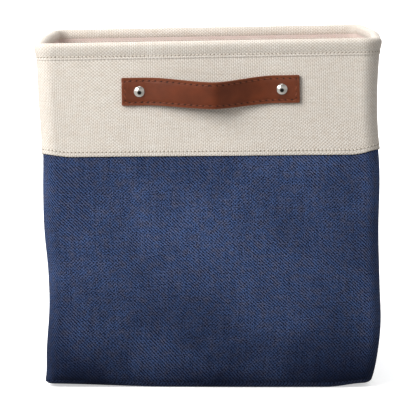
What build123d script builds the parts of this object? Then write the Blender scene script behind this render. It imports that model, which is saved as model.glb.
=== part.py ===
from build123d import *
from math import atan, degrees
import os

os.makedirs("parts", exist_ok=True)

# Fabric storage bin for a 13-inch cube shelf. Millimetres, +Z up, front faces -Y.
# Origin: centre of the underside, on the floor.

# Overall
rim_width = 330.0
rim_depth = 330.0
height = 336.0
base_inset = 6.0
corner_radius = 18.0
rim_tilt = 1.0
floor_radius = 5.0
base_turn_up = 5.5

# Wall layers, measured inward from the outside of the hem
band_face = 0.8
shell_face = 2.0
stiffener_face = 3.4
lining_face = 6.0
inside_face = 6.8
stiffener_half_width = 145.0
layers_below_rim = 9.0

# Cream band and its wired hem
band_bottom = 226.0
band_tilt = 0.5
hem_height = 14.5
hem_radius = 4.0
tunnel_outer = 2.25
tunnel_inner = -3.15
wire_radius = 1.75
ferrule_length = 22.0
ferrule_radius = 2.4

# Loose base insert
insert_bottom = 2.5
insert_thickness = 4.0
insert_cover = 0.8
insert_inset = 11.0

# Handles
handle_height = 288.8
handle_shift = 2.5
strap_length = 170.0
strap_width = 26.6
backing_ply = 1.2
strap_ply = 1.8
strap_bow = 15.0
strap_sag = 5.0
bow_half_length = 62.0
grip_half_length = 34.0
grip_gap = 0.15
rivet_spacing = 136.0
rivet_cap_radius = 5.2
rivet_cap_height = 2.8
rivet_cap_skirt = 0.6
rivet_post_radius = 1.5
rivet_back_radius = 4.5
rivet_back_height = 1.2

wall_lean = degrees(atan(base_inset / height))
tunnel_centre = (tunnel_outer + tunnel_inner) / 2
tunnel_radius = (tunnel_outer - tunnel_inner) / 2
wall_depth = inside_face - band_face
big = 900.0


def outline(inset, level):
    """Rounded rectangle of the bin at one height, a given distance inside the hem face."""
    narrowing = base_inset * (1 - level / height)
    width = rim_width - 2 * (narrowing + inset)
    depth = rim_depth - 2 * (narrowing + inset)
    return Pos(0, 0, level) * RectangleRounded(width, depth, corner_radius - inset - narrowing)


def block(inset, low, high):
    """Solid filling the bin's outline between two heights, widening upward."""
    return extrude(outline(inset, low), high - low, taper=-wall_lean)


def below(level, tilt=0.0):
    """Everything under a plane that rises to the right by the tilt angle."""
    return Pos(0, 0, level) * Rot(0, -tilt, 0) * Pos(0, 0, -big / 2) * Box(big, big, big)


def layer(outer, inner, low, rim_drop):
    """One wall layer from a height up to a distance below the rim."""
    shell = block(outer, low, height + 20) - block(inner, low - 1, height + 21)
    return shell & below(height - rim_drop, rim_tilt)


def floor_edges(solid):
    """Lowest edges of a solid."""
    return solid.edges().group_by(Axis.Z)[0]


def rim_path(inset):
    """Closed path round the rim in its tilted plane, at the centre of the hem's round top."""
    level = Pos(0, 0, height - hem_radius) * Rot(0, -rim_tilt, 0)
    shape = RectangleRounded(rim_width - 2 * inset, rim_depth - 2 * inset, corner_radius - inset)
    return (level * shape).face().outer_wire()


def across(path):
    """Plane across the start of a rim path: local X is up, local Y is outward."""
    start = path @ 0
    along = path % 0
    up = Vector(0, 0, 1).rotate(Axis.Y, -rim_tilt)
    side = along.cross(up)
    if side.dot(Vector(start.X, start.Y, 0)) < 0:
        along = along * -1
    return Plane(origin=start, x_dir=up, z_dir=along)


def hem_section():
    """Folded cloth section: round top, thick outer leaf, thin inner leaf, open below."""
    drop = hem_height - hem_radius
    body = Pos(-drop / 2, 0) * Rectangle(drop, 2 * hem_radius) + Circle(hem_radius)
    slot = Pos(-drop / 2 - 1, tunnel_centre) * Rectangle(drop + 2, 2 * tunnel_radius)
    return body - slot - Pos(0, tunnel_centre) * Circle(tunnel_radius)


def handle_front():
    """Frame on the front wall: X along the strap, Y up the wall, Z outward."""
    face = rim_depth / 2 - base_inset * (1 - handle_height / height) - band_face
    return Pos(handle_shift, -face, handle_height) * Rot(90 + wall_lean, 0, 0) * Rot(0, 0, rim_tilt)


def handle_rear():
    """The same frame on the rear wall."""
    face = rim_depth / 2 - base_inset * (1 - handle_height / height) - band_face
    turn = Rot(0, 0, 180) * Rot(90 + wall_lean, 0, 0) * Rot(0, 0, -rim_tilt)
    return Pos(0, face, handle_height) * turn


def hump(start, end, rise):
    """Flat ends joined by a smooth hump; start and end are the outline's corner points."""
    middle = (start + end) / 2 + rise
    left = Vector(-bow_half_length, start.Y, start.Z)
    right = Vector(bow_half_length, end.Y, end.Z)
    flat = (Vector(1, 0, 0), Vector(1, 0, 0))
    climb = Spline(left, middle, tangents=flat)
    descend = Spline(middle, right, tangents=flat)
    return [Line(start, left), climb, descend, Line(right, end)]


def ply(low, high):
    """One leather ply of a strap, bowed out from the wall and sagging in the middle."""
    half = strap_length / 2
    bow = Vector(0, 0, strap_bow)
    sag = Vector(0, -strap_sag, 0)
    inner = hump(Vector(-half, 0, low), Vector(half, 0, low), bow)
    outer = hump(Vector(-half, 0, high), Vector(half, 0, high), bow)
    ends = [Line((-half, 0, low), (-half, 0, high)), Line((half, 0, low), (half, 0, high))]
    side_face = make_face(inner + outer + ends)
    side = extrude(side_face, amount=strap_width * 2, dir=(0, 1, 0), both=True)
    edge = strap_width / 2
    top = hump(Vector(-half, edge, 0), Vector(half, edge, 0), sag)
    bottom = hump(Vector(-half, -edge, 0), Vector(half, -edge, 0), sag)
    ends = [Line((-half, -edge, 0), (-half, edge, 0)), Line((half, -edge, 0), (half, edge, 0))]
    front_face = make_face(top + bottom + ends)
    return side & extrude(front_face, amount=60, dir=(0, 0, 1), both=True)


def grip_part(solid):
    """The free middle of a strap ply."""
    return solid & Box(2 * (grip_half_length - grip_gap), big, big)


def end_part(solid, side):
    """The riveted end of a strap ply on the left (-1) or right (+1)."""
    shift = side * (grip_half_length + grip_gap + big / 2)
    return solid & Pos(shift, 0, 0) * Box(big, big, big)


def post(side):
    """Rivet shank on one side of a handle."""
    depth = wall_depth + backing_ply + strap_ply + 1.9
    middle = backing_ply + strap_ply + 1.0 - depth / 2
    return Pos(side * rivet_spacing / 2, 0, middle) * Cylinder(rivet_post_radius, depth)


def rivet(side):
    """Domed cap with its shank."""
    skirt = rivet_cap_skirt
    rise = rivet_cap_height - skirt
    ball_radius = (rivet_cap_radius**2 + rise**2) / (2 * rise)
    ball = Pos(0, 0, rivet_cap_height - ball_radius) * Sphere(ball_radius)
    dome = ball & Pos(0, 0, rivet_cap_height / 2 + skirt / 2) * Box(20, 20, rise)
    cap = dome + Pos(0, 0, skirt / 2) * Cylinder(rivet_cap_radius, skirt)
    level = backing_ply + strap_ply
    return Pos(side * rivet_spacing / 2, 0, level) * cap + post(side)


def rivet_back(side):
    """Cap on the inside of the wall."""
    cap = Cylinder(rivet_back_radius, rivet_back_height)
    cap = fillet(cap.edges().group_by(Axis.Z)[0], 0.5)
    level = -wall_depth - rivet_back_height / 2
    return Pos(side * rivet_spacing / 2, 0, level) * cap - post(side)


def drill(solid):
    """Cut the rivet holes of both handles out of a wall layer."""
    hole = Rot(0, 0, 40) * Cylinder(rivet_post_radius, 30)
    for frame in (handle_front(), handle_rear()):
        for side in (-1, 1):
            solid = solid - frame * Pos(side * rivet_spacing / 2, 0, 0) * hole
    return solid


def shell_solid():
    """Navy outer cloth as one dish with a rounded floor edge."""
    outer = block(shell_face, 0, height + 20)
    outer = fillet(floor_edges(outer), floor_radius)
    inner = block(stiffener_face, stiffener_face - shell_face, height + 21)
    inner = fillet(floor_edges(inner), floor_radius - 1.4)
    return outer - inner


def outer_wall():
    """Navy cloth wall, running up inside the hem."""
    cloth = shell_solid() & below(height - layers_below_rim, rim_tilt)
    return drill(cloth - below(base_turn_up))


def outer_base():
    """Navy base panel, turned up at its edge to the wall seam."""
    return shell_solid() & below(base_turn_up)


def upper_band():
    """Cream band over the wall, folded over the rim wire as a hem."""
    band = block(band_face, 150, height + 20) - block(shell_face, 149, height + 21)
    band = band - below(band_bottom, band_tilt)
    band = band & below(height - hem_height + 2, rim_tilt)
    path = rim_path(hem_radius)
    hem = sweep(across(path) * hem_section(), path=path)
    return drill(band + hem)


def rim_wire():
    """Steel loop inside the hem, its two ends meeting at the rear."""
    path = rim_path(hem_radius - tunnel_centre)
    loop = sweep(across(path) * Circle(wire_radius), path=path)
    return loop - Pos(0, rim_depth / 2, height) * Box(0.6, 40, 40)


def rim_ferrule():
    """Sleeve crimped over the two wire ends."""
    back = rim_depth / 2 - hem_radius + tunnel_centre
    tube = Cylinder(ferrule_radius, ferrule_length) - Cylinder(wire_radius, ferrule_length)
    return Pos(0, back, height - hem_radius) * Rot(0, -rim_tilt, 0) * Rot(0, 90, 0) * tube


def stiffener(side):
    """Felt panel of one wall; the corners are left free so that the bin can fold."""
    felt = layer(stiffener_face, lining_face, base_turn_up, layers_below_rim)
    panel = Box(2 * stiffener_half_width, 100, 2 * big)
    turns = {"front": 0, "right": 90, "rear": 180, "left": 270}
    return drill(felt & Rot(0, 0, turns[side]) * Pos(0, -rim_depth / 2, 0) * panel)


def lining_wall():
    """Thin lining of the four walls."""
    return drill(layer(lining_face, inside_face, 1.6, layers_below_rim))


def lining_base():
    """Thin lining of the floor."""
    return block(inside_face + 0.3, 1.4, 2.2)


def insert_block(inset, low, high):
    """Straight rounded slab of the base insert."""
    width = rim_width - 2 * (base_inset + insert_inset + inset)
    depth = rim_depth - 2 * (base_inset + insert_inset + inset)
    slab = extrude(RectangleRounded(width, depth, 10 - inset), high - low)
    return Pos(0, 0, low) * slab


def insert_board():
    """Stiff board of the base insert."""
    top = insert_bottom + insert_thickness - insert_cover
    return insert_block(insert_cover, insert_bottom + insert_cover, top)


def insert_sleeve():
    """Cloth cover of the base insert."""
    top = insert_bottom + insert_thickness
    return insert_block(0, insert_bottom, top) - insert_board()


def handle_nodes(name, frame):
    """Strap, backing and rivets of one handle, by node name."""
    strap = ply(backing_ply, backing_ply + strap_ply)
    backing = ply(0, backing_ply)
    for side in (-1, 1):
        strap = strap - post(side)
        backing = backing - post(side)
    nodes = {
        f"{name}_strap_grip": frame * grip_part(strap),
        f"{name}_backing_grip": frame * grip_part(backing),
    }
    for side, word in ((-1, "left"), (1, "right")):
        nodes[f"{name}_strap_{word}_end"] = frame * end_part(strap, side)
        nodes[f"{name}_backing_{word}_end"] = frame * end_part(backing, side)
        nodes[f"{name}_rivet_{word}"] = frame * rivet(side)
        nodes[f"{name}_rivet_{word}_back"] = frame * rivet_back(side)
    return nodes


parts = {
    "outer_wall": outer_wall(),
    "outer_base": outer_base(),
    "upper_band": upper_band(),
    "rim_wire": rim_wire(),
    "rim_wire_ferrule": rim_ferrule(),
    "front_stiffener": stiffener("front"),
    "rear_stiffener": stiffener("rear"),
    "left_stiffener": stiffener("left"),
    "right_stiffener": stiffener("right"),
    "lining_wall": lining_wall(),
    "lining_base": lining_base(),
    "insert_board": insert_board(),
    "insert_cover": insert_sleeve(),
}
parts.update(handle_nodes("front", handle_front()))
parts.update(handle_nodes("rear", handle_rear()))

for name, shape in parts.items():
    export_step(shape, f"parts/{name}.step")
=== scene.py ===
"""Fabric storage bin: woven walls, wired rim, leather strap handles and a loose base insert.

Dresses the bin's CAD frame with its cloth, leather, thread and metal.
Lengths are metres unless a name says mm. The front faces -Y and +Z is up.
"""

import logging
import math
from dataclasses import dataclass, field, replace
from enum import Enum
from typing import Any, Callable, Sequence

import bpy
import numpy as np
from mathutils import Matrix, Vector


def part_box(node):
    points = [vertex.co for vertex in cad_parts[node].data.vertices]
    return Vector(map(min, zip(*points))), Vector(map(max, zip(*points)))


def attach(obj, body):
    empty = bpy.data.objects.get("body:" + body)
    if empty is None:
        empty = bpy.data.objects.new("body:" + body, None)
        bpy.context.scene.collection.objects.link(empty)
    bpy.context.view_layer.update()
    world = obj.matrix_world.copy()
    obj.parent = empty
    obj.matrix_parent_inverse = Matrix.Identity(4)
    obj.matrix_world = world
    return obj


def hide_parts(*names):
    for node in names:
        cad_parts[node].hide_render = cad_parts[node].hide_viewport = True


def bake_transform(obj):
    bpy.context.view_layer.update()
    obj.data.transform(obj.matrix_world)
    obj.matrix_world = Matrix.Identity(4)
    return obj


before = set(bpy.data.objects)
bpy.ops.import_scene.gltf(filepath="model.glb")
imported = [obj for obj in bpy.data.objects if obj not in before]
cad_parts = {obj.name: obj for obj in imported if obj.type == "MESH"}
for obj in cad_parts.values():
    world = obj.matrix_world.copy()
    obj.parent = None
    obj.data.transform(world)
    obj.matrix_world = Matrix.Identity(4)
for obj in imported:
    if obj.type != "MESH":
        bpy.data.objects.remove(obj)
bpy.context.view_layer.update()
LOG = logging.getLogger("fabric_bin")
MM = 0.001
NOISE, RANGE, MIX = "ShaderNodeTexNoise", "ShaderNodeMapRange", "ShaderNodeMix"
MATH, VECTOR, SPLIT = "ShaderNodeMath", "ShaderNodeVectorMath", "ShaderNodeSeparateXYZ"
PRINCIPLED = "ShaderNodeBsdfPrincipled"


def linear(hex_colour: str) -> tuple[float, float, float, float]:
    """Turn an sRGB hex colour into linear RGBA.

    Args:
        hex_colour: Six hex digits, such as "39435f".

    Returns:
        Linear red, green, blue and an alpha of 1.
    """
    parts = [int(hex_colour[i : i + 2], 16) / 255 for i in (0, 2, 4)]
    out = [c / 12.92 if c <= 0.04045 else ((c + 0.055) / 1.055) ** 2.4 for c in parts]
    return (out[0], out[1], out[2], 1.0)


def smooth(value: Any) -> Any:
    """Ease from 0 to 1 as value goes from 0 to 1."""
    t = np.clip(value, 0.0, 1.0)
    return t * t * (3 - 2 * t)


def per_metre(size_mm: float) -> float:
    """How many cells of a pattern of this size fit in a metre."""
    return 1 / (size_mm * MM)


def add(tree: Any, kind: str, inputs: dict[Any, Any] | None = None, **settings: Any) -> Any:
    """Add a node to a tree with its settings, links and values.

    Args:
        tree: The node tree.
        kind: The node's type name.
        inputs: Socket name or number to a value, to the output socket that feeds it, or to a
            node whose first output in use feeds it.
        **settings: Properties of the node itself.

    Returns:
        The new node.
    """
    node = tree.nodes.new(kind)
    for name, value in settings.items():
        setattr(node, name, value)
    for key, value in (inputs or {}).items():
        if isinstance(value, bpy.types.Node):
            value = next(socket for socket in value.outputs if socket.enabled)
        if isinstance(value, bpy.types.NodeSocket):
            tree.links.new(value, node.inputs[key])
        else:
            node.inputs[key].default_value = value
    return node


def blank_material(name: str) -> tuple[Any, Any]:
    """Start a material with an empty node tree; returns both."""
    material = bpy.data.materials.new(name)
    material.use_nodes = True
    material.node_tree.nodes.clear()
    return material, material.node_tree


@dataclass(frozen=True)
class WovenCloth:
    """Woven cloth of spun polycotton yarn: dull, with yarn tops painted light and the gaps between
    them painted shade.

    The weave runs in the piece's own UV map, which is laid out in metres. The real yarns are
    too fine to show, so the crossings are drawn up to twice as coarse.
    """

    name: str
    # deep is the painted shade in the gaps between yarns, and the colour that the painted foot and
    # cloud shade darken toward; lit is the painted light on the yarn tops.
    deep: str
    lit: str
    fleck: str
    fleck_share: float
    lint: float
    sheen: float
    slub: float = 0.0
    # painted_cloud_shade: painted shade in soft random clouds, standing in for the shading of
    # gentle folds in the cloth.
    painted_cloud_shade: float = 0.0
    # painted_foot_shade: painted shade that darkens the colour toward the foot.
    painted_foot_shade: float = 0.0
    warp_mm: float = 1.2
    weft_mm: float = 1.2
    rib: tuple[float, float] = (0.0, 2.0)
    rib_share: float = 0.3
    relief_mm: float = 0.15
    roughness: float = 0.95
    specular: float = 0.12
    stray_mm: float = 0.9
    stray_reach_mm: float = 1000 / 90
    rib_area_mm: float = 1000 / 14
    weft_slub: float = 0.55
    weft_slub_mm: tuple[float, float] = (1000 / 60, 1000 / 560)
    warp_slub_mm: tuple[float, float] = (1000 / 520, 1000 / 26)
    lint_mm: float = 1000 / 950
    fleck_mm: float = 1000 / 150
    cloud_shade_mm: float = 1000 / 11
    foot_reach: float = 150 * MM

    def build(self) -> Any:
        """Make the material from the yarns' height and their dye."""
        material, tree = blank_material(self.name)
        uv = add(tree, "ShaderNodeUVMap", uv_map="cloth")
        height = self.weave(tree, uv)
        relief = {"Height": height, "Strength": 0.55, "Distance": self.relief_mm * MM}
        surface = {
            "Base Color": self.yarn_colour_and_shade(tree, uv, height),
            "Normal": add(tree, "ShaderNodeBump", relief),
            "Roughness": self.roughness,
            "Sheen Weight": self.sheen,
            "Specular IOR Level": self.specular,
        }
        add(tree, "ShaderNodeOutputMaterial", {"Surface": add(tree, PRINCIPLED, surface)})
        return material

    def weave(self, tree: Any, uv: Any) -> Any:
        """Weave the yarns: plain crossings that turn to ribs in places, with slubs and lint.

        Args:
            tree: The material's node tree.
            uv: The node that gives places on the cloth.

        Returns:
            The node that gives the yarns' height, from 0 in the gaps to 1 on their tops.
        """
        reach = per_metre(self.stray_reach_mm)
        noise = add(tree, NOISE, {"Vector": uv, "Scale": reach, "Detail": 2.0}).outputs["Color"]
        centred = add(tree, VECTOR, {0: noise, 1: (0.5, 0.5, 0.5)}, operation="SUBTRACT")
        stray = add(tree, VECTOR, {0: centred, "Scale": self.stray_mm * MM}, operation="SCALE")
        thread = add(tree, VECTOR, {0: uv, 1: stray}, operation="ADD")
        pitch = (math.pi * per_metre(self.warp_mm), math.pi * per_metre(self.weft_mm), 0.0)
        turns = add(tree, VECTOR, {0: thread, 1: pitch}, operation="MULTIPLY")
        along = add(tree, VECTOR, {0: turns, 1: (*self.rib, 0.0)}, operation="DOT_PRODUCT")
        rib = add(tree, MATH, {0: along}, operation="SINE")
        axes = add(tree, SPLIT, {0: turns}).outputs
        warp, weft = (add(tree, MATH, {0: axis}, operation="SINE") for axis in axes[:2])
        plain = add(tree, MATH, {0: warp, 1: weft}, operation="MULTIPLY")
        scale = per_metre(self.rib_area_mm)
        area = add(tree, NOISE, {"Vector": uv, "Scale": scale, "Detail": 2.0})
        low, high = self.rib_share * 0.35, self.rib_share
        share = add(tree, RANGE, {0: area, 1: 0.36, 2: 0.56, 3: low, 4: high})
        mixed = add(tree, MIX, {"Factor": share, "A": plain, "B": rib}, data_type="FLOAT")
        height = add(tree, RANGE, {0: mixed, 1: -0.85, 2: 0.85})
        middle = 0.0
        for (wide, tall), detail, weight in (
            (self.weft_slub_mm, 3.0, self.weft_slub),
            (self.warp_slub_mm, 3.0, self.slub),
            ((self.lint_mm, self.lint_mm), 1.0, self.lint),
        ):
            cells = (per_metre(wide), per_metre(tall), 1.0)
            spot = add(tree, VECTOR, {0: uv, 1: cells}, operation="MULTIPLY")
            grain = add(tree, NOISE, {"Vector": spot, "Scale": 1.0, "Detail": detail})
            height = add(tree, MATH, {0: grain, 1: weight, 2: height}, operation="MULTIPLY_ADD")
            middle += weight / 2
        return add(tree, MATH, {0: height, 1: middle}, operation="SUBTRACT", use_clamp=True)

    def yarn_colour_and_shade(self, tree: Any, uv: Any, height: Any) -> Any:
        """Colour the yarns, with flecks, painted cloudy shade and painted shade toward the foot by
        painted_foot_shade.

        Args:
            tree: The material's node tree.
            uv: The node that gives places on the cloth.
            height: The node that gives the yarns' height.

        Returns:
            The node that gives the colour.
        """
        deep, lit, fleck = linear(self.deep), linear(self.lit), linear(self.fleck)
        scale = per_metre(self.fleck_mm)
        patch = add(tree, NOISE, {"Vector": uv, "Scale": scale, "Detail": 4.0})
        share = add(tree, RANGE, {0: patch, 1: 0.42, 2: 0.68, 3: 0.0, 4: self.fleck_share})
        top = add(tree, MIX, {"Factor": share, "A": lit, "B": fleck}, data_type="RGBA")
        # Painted light and shade: high yarn tops take the lit colour, low gaps the deep colour.
        yarn = add(tree, MIX, {"Factor": height, "A": deep, "B": top}, data_type="RGBA")
        # Painted shade toward the foot: the colour is mixed toward deep, by painted_foot_shade at
        # the floor, fading out up to foot_reach.
        place = add(tree, "ShaderNodeTexCoord").outputs["Object"]
        rise = add(tree, SPLIT, {0: place}).outputs["Z"]
        low = add(tree, RANGE, {0: rise, 1: 0.0, 2: self.foot_reach, 3: 1.0, 4: 0.0})
        squared = add(tree, MATH, {0: low, 1: 2.0}, operation="POWER")
        foot_shade_share = add(tree, MATH, {0: squared, 1: self.painted_foot_shade}, operation="MULTIPLY")
        # Painted shade in soft random clouds, standing in for the shading of gentle folds in the
        # cloth.
        scale = per_metre(self.cloud_shade_mm)
        cloud = add(tree, NOISE, {"Vector": uv, "Scale": scale, "Detail": 3.0})
        steps = {0: cloud, 1: 0.38, 2: 0.62, 3: 0.0, 4: self.painted_cloud_shade}
        drift = add(tree, RANGE, steps, interpolation_type="SMOOTHSTEP")
        shade = add(tree, MATH, {0: foot_shade_share, 1: drift}, operation="ADD")
        return add(tree, MIX, {"Factor": shade, "A": yarn, "B": deep}, data_type="RGBA")


@dataclass(frozen=True)
class TannedLeather:
    """Chrome-tanned cowhide with fine pores, a cloudy dye and cut edges in their own tone."""

    name: str
    face: str
    shade: str
    edge: str
    pore_mm: float
    roughness: float
    relief_mm: float
    specular: float = 0.26
    cloud_mm: float = 1000 / 70
    crease_mm: float = 1000 / 420

    def build(self) -> Any:
        """Make the material. The hide runs in the piece's UV map, in metres."""
        material, tree = blank_material(self.name)
        uv = add(tree, "ShaderNodeUVMap", uv_map="cloth")
        scale = per_metre(self.cloud_mm)
        cloud = add(tree, NOISE, {"Vector": uv, "Scale": scale, "Detail": 5.0})
        share = add(tree, RANGE, {0: cloud, 1: 0.3, 2: 0.7})
        tones = {"Factor": share, "A": linear(self.shade), "B": linear(self.face)}
        hide = add(tree, MIX, tones, data_type="RGBA")
        burnish = add(tree, "ShaderNodeAttribute", attribute_name="burnish").outputs["Fac"]
        rubbed = {"Factor": burnish, "A": hide, "B": linear(self.edge)}
        cells = {"Vector": uv, "Scale": per_metre(self.pore_mm)}
        pores = add(tree, "ShaderNodeTexVoronoi", cells, feature="DISTANCE_TO_EDGE")
        grain = add(tree, RANGE, {0: pores, 1: 0.0, 2: 0.14})
        scale = per_metre(self.crease_mm)
        crease = add(tree, NOISE, {"Vector": uv, "Scale": scale, "Detail": 3.0})
        relief = add(tree, MATH, {0: crease, 1: 0.8, 2: grain}, operation="MULTIPLY_ADD")
        raised = {"Height": relief, "Strength": 0.35, "Distance": self.relief_mm * MM}
        dull, bright = self.roughness + 0.07, self.roughness - 0.05
        surface = {
            "Base Color": add(tree, MIX, rubbed, data_type="RGBA"),
            "Normal": add(tree, "ShaderNodeBump", raised),
            "Roughness": add(tree, RANGE, {0: cloud, 1: 0.3, 2: 0.7, 3: dull, 4: bright}),
            "Specular IOR Level": self.specular,
        }
        add(tree, "ShaderNodeOutputMaterial", {"Surface": add(tree, PRINCIPLED, surface)})
        return material


@dataclass(frozen=True)
class SpunFinish:
    """Fine matt fibre, twisted or pressed: thread, felt and board, and shaded needle holes."""

    name: str
    base: str
    tint: str
    grain_mm: float
    roughness: float
    relief_mm: float = 0.1

    def build(self) -> Any:
        """Make the material on object coordinates."""
        material, tree = blank_material(self.name)
        place = add(tree, "ShaderNodeTexCoord").outputs["Object"]
        cells = {"Vector": place, "Scale": per_metre(self.grain_mm), "Detail": 4.0}
        fibre = add(tree, NOISE, {**cells, "Roughness": 0.65})
        share = add(tree, RANGE, {0: fibre, 1: 0.32, 2: 0.68})
        tones = {"Factor": share, "A": linear(self.base), "B": linear(self.tint)}
        raised = {"Height": fibre, "Strength": 0.5, "Distance": self.relief_mm * MM}
        surface = {
            "Base Color": add(tree, MIX, tones, data_type="RGBA"),
            "Normal": add(tree, "ShaderNodeBump", raised),
            "Roughness": self.roughness,
        }
        add(tree, "ShaderNodeOutputMaterial", {"Surface": add(tree, PRINCIPLED, surface)})
        return material


@dataclass(frozen=True)
class PlatedMetal:
    """Bright nickel plate or drawn wire: mirror-like, softened by fine handling marks."""

    name: str
    base: str
    roughness: float
    mark_mm: float

    def build(self) -> Any:
        """Make the material on object coordinates."""
        material, tree = blank_material(self.name)
        place = add(tree, "ShaderNodeTexCoord").outputs["Object"]
        cells = {"Vector": place, "Scale": per_metre(self.mark_mm), "Detail": 3.0}
        marks = add(tree, NOISE, cells)
        bright, dull = self.roughness * 0.7, self.roughness * 1.5
        surface = {
            "Base Color": linear(self.base),
            "Metallic": 1.0,
            "Roughness": add(tree, RANGE, {0: marks, 1: 0.35, 2: 0.7, 3: bright, 4: dull}),
        }
        add(tree, "ShaderNodeOutputMaterial", {"Surface": add(tree, PRINCIPLED, surface)})
        return material


class Finish(Enum):
    """Every finish on the bin, with what it gives the eye."""

    # Piece-dyed twill: soft blue ribs over near-black gaps of painted shade, painted cloudy shade,
    # and painted shade toward the foot.
    NAVY = WovenCloth(
        "navy_woven_polycotton", "020920", "526898", "6c6b7d", 0.6, lint=2.4, sheen=0.01,
        slub=0.55, painted_cloud_shade=0.3, painted_foot_shade=0.7, warp_mm=1.65, weft_mm=1.65, rib=(1.0, 1.0),
        rib_share=0.72, relief_mm=0.5,
    )
    # Undyed yarn in a looser weave: warm white, with beige painted shade in the gaps, a little
    # painted cloudy shade and a faint upright grain.
    CREAM = WovenCloth(
        "cream_woven_polycotton", "bdb1a3", "f2ede5", "ecdfd0", 0.5, lint=0.8, sheen=0.05,
        slub=0.3, painted_cloud_shade=0.1, warp_mm=1.8, weft_mm=1.55, rib=(2.0, 0.0), rib_share=0.5,
        relief_mm=0.5, roughness=0.92,
    )
    # Thin, tightly woven lining: an even pinkish beige with hardly any relief, its gaps painted a
    # shade darker.
    LINING = WovenCloth(
        "beige_lining_cloth", "c3b1a9", "ddcec6", "dabfb6", 0.6, lint=0.3, sheen=0.05
    )
    # The same thin weave in a taupe dye, its gaps painted a shade darker, a little uneven, with a
    # little painted cloudy shade.
    COVER = WovenCloth(
        "taupe_cover_cloth", "7d7068", "aa9c92", "9f8f86", 0.4, lint=0.4, sheen=0.03,
        slub=0.2, painted_cloud_shade=0.1,
    )
    # Grain side of the hide, rolled smooth: red-brown, with a low broken gloss.
    STRAP = TannedLeather("brown_cowhide_smooth", "74381f", "5f2e19", "7d4327", 0.9, 0.42, 0.25)
    # Flesh side of the hide, left rough: darker and without gloss.
    BACKING = TannedLeather("brown_cowhide_split", "5c3526", "48281c", "2c1812", 0.7, 0.8, 0.3)
    # Twisted polyester: pale dashes that stand up from the cream cloth.
    CREAM_THREAD = SpunFinish("cream_polyester_thread", "e6e0d6", "cdc4b6", 0.5, 0.7)
    # Waxed thread: rust dashes that are a shade lighter than the strap.
    RUST_THREAD = SpunFinish("rust_waxed_thread", "8c4826", "6c3219", 0.5, 0.6)
    # Shade in the holes and gaps that sewing leaves in each ply.
    CLOTH_HOLE = SpunFinish("painted_shade_in_cream_needle_holes", "9c8f7e", "84786a", 0.6, 0.95)
    CLOTH_GAP = SpunFinish("shaded_gap_under_the_band", "141828", "0c0f1b", 0.6, 0.98)
    HIDE_HOLE_SHADE = SpunFinish("painted_shade_in_leather_needle_holes", "2c1510", "1f0f0b", 0.6, 0.9)
    # Needled fibre and pressed pulp: mottled, matt sheets that only show in section.
    FELT = SpunFinish("grey_pressed_felt", "9a9893", "84827e", 1.2, 0.95, 0.4)
    BOARD = SpunFinish("grey_brown_pressed_board", "98866e", "85745e", 0.8, 0.9)
    # Polished plate over brass: a warm mirror that shows the light as a small sharp spot.
    NICKEL = PlatedMetal("bright_nickel_plate", "dcd6cd", 0.08, 2.5)
    # Wire as it leaves the die: grey with a soft streak of light.
    WIRE = PlatedMetal("drawn_steel_wire", "9a9a9a", 0.3, 1.0)


@dataclass(frozen=True)
class Finishes:
    """Makes each finish once and hands it out."""

    made: dict[Finish, Any] = field(default_factory=dict)

    def get(self, finish: Finish) -> Any:
        """Return the material of a finish, making it the first time."""
        if finish not in self.made:
            self.made[finish] = finish.value.build()
        return self.made[finish]


class Ends(Enum):
    """How a lofted skin closes."""

    JOINED = "joined"
    FLAT = "flat"
    FAN = "fan"


def loft(name: str, loops: np.ndarray, ends: Ends, uv: np.ndarray, crisp: float = 60.0) -> Any:
    """Skin a row of closed loops into one closed mesh object.

    Args:
        name: The piece's name.
        loops: Points by loop and by place in the loop, of shape (K, M, 3).
        ends: Whether the last loop joins the first, or the ends are flat or fanned.
        uv: Texture places in metres, of shape (K + 1, M + 1, 2).
        crisp: Edges sharper than this angle in degrees shade as sharp.

    Returns:
        The new object.
    """
    count, size = loops.shape[:2]
    spans = count if ends is Ends.JOINED else count - 1
    k, m = np.meshgrid(np.arange(spans), np.arange(size), indexing="ij")
    k, m = k.ravel(), m.ravel()
    after, over = (k + 1) % count, (m + 1) % size
    quads = np.stack([k * size + m, k * size + over, after * size + over, after * size + m], 1)
    places = np.stack([uv[k, m], uv[k, m + 1], uv[k + 1, m + 1], uv[k + 1, m]], 1)
    points = loops.reshape(-1, 3)
    faces = [list(q) for q in quads.tolist()]
    texture = [list(map(tuple, p)) for p in places.tolist()]
    if ends is not Ends.JOINED:
        for loop, turn in ((0, -1), (count - 1, 1)):
            ids = [loop * size + i for i in range(size)][::turn]
            spots = [tuple(uv[loop, i]) for i in range(size)][::turn]
            if ends is Ends.FLAT:
                faces.append(ids)
                texture.append(spots)
                continue
            middle = len(points)
            points = np.vstack([points, points[ids].mean(0)])
            centre = tuple(np.mean(spots, axis=0))
            for i in range(size):
                j = (i + 1) % size
                faces.append([ids[i], ids[j], middle])
                texture.append([spots[i], spots[j], centre])
    mesh = bpy.data.meshes.new(name)
    mesh.from_pydata(points.tolist(), [], faces)
    if signed_volume(mesh) < 0:
        faces = [f[::-1] for f in faces]
        texture = [t[::-1] for t in texture]
        mesh.clear_geometry()
        mesh.from_pydata(points.tolist(), [], faces)
    layer = mesh.uv_layers.new(name="cloth")
    layer.data.foreach_set("uv", [c for face in texture for spot in face for c in spot])
    mesh.shade_smooth()
    mesh.set_sharp_from_angle(angle=math.radians(crisp))
    mesh.validate()
    piece = bpy.data.objects.new(name, mesh)
    bpy.context.scene.collection.objects.link(piece)
    return piece


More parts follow.
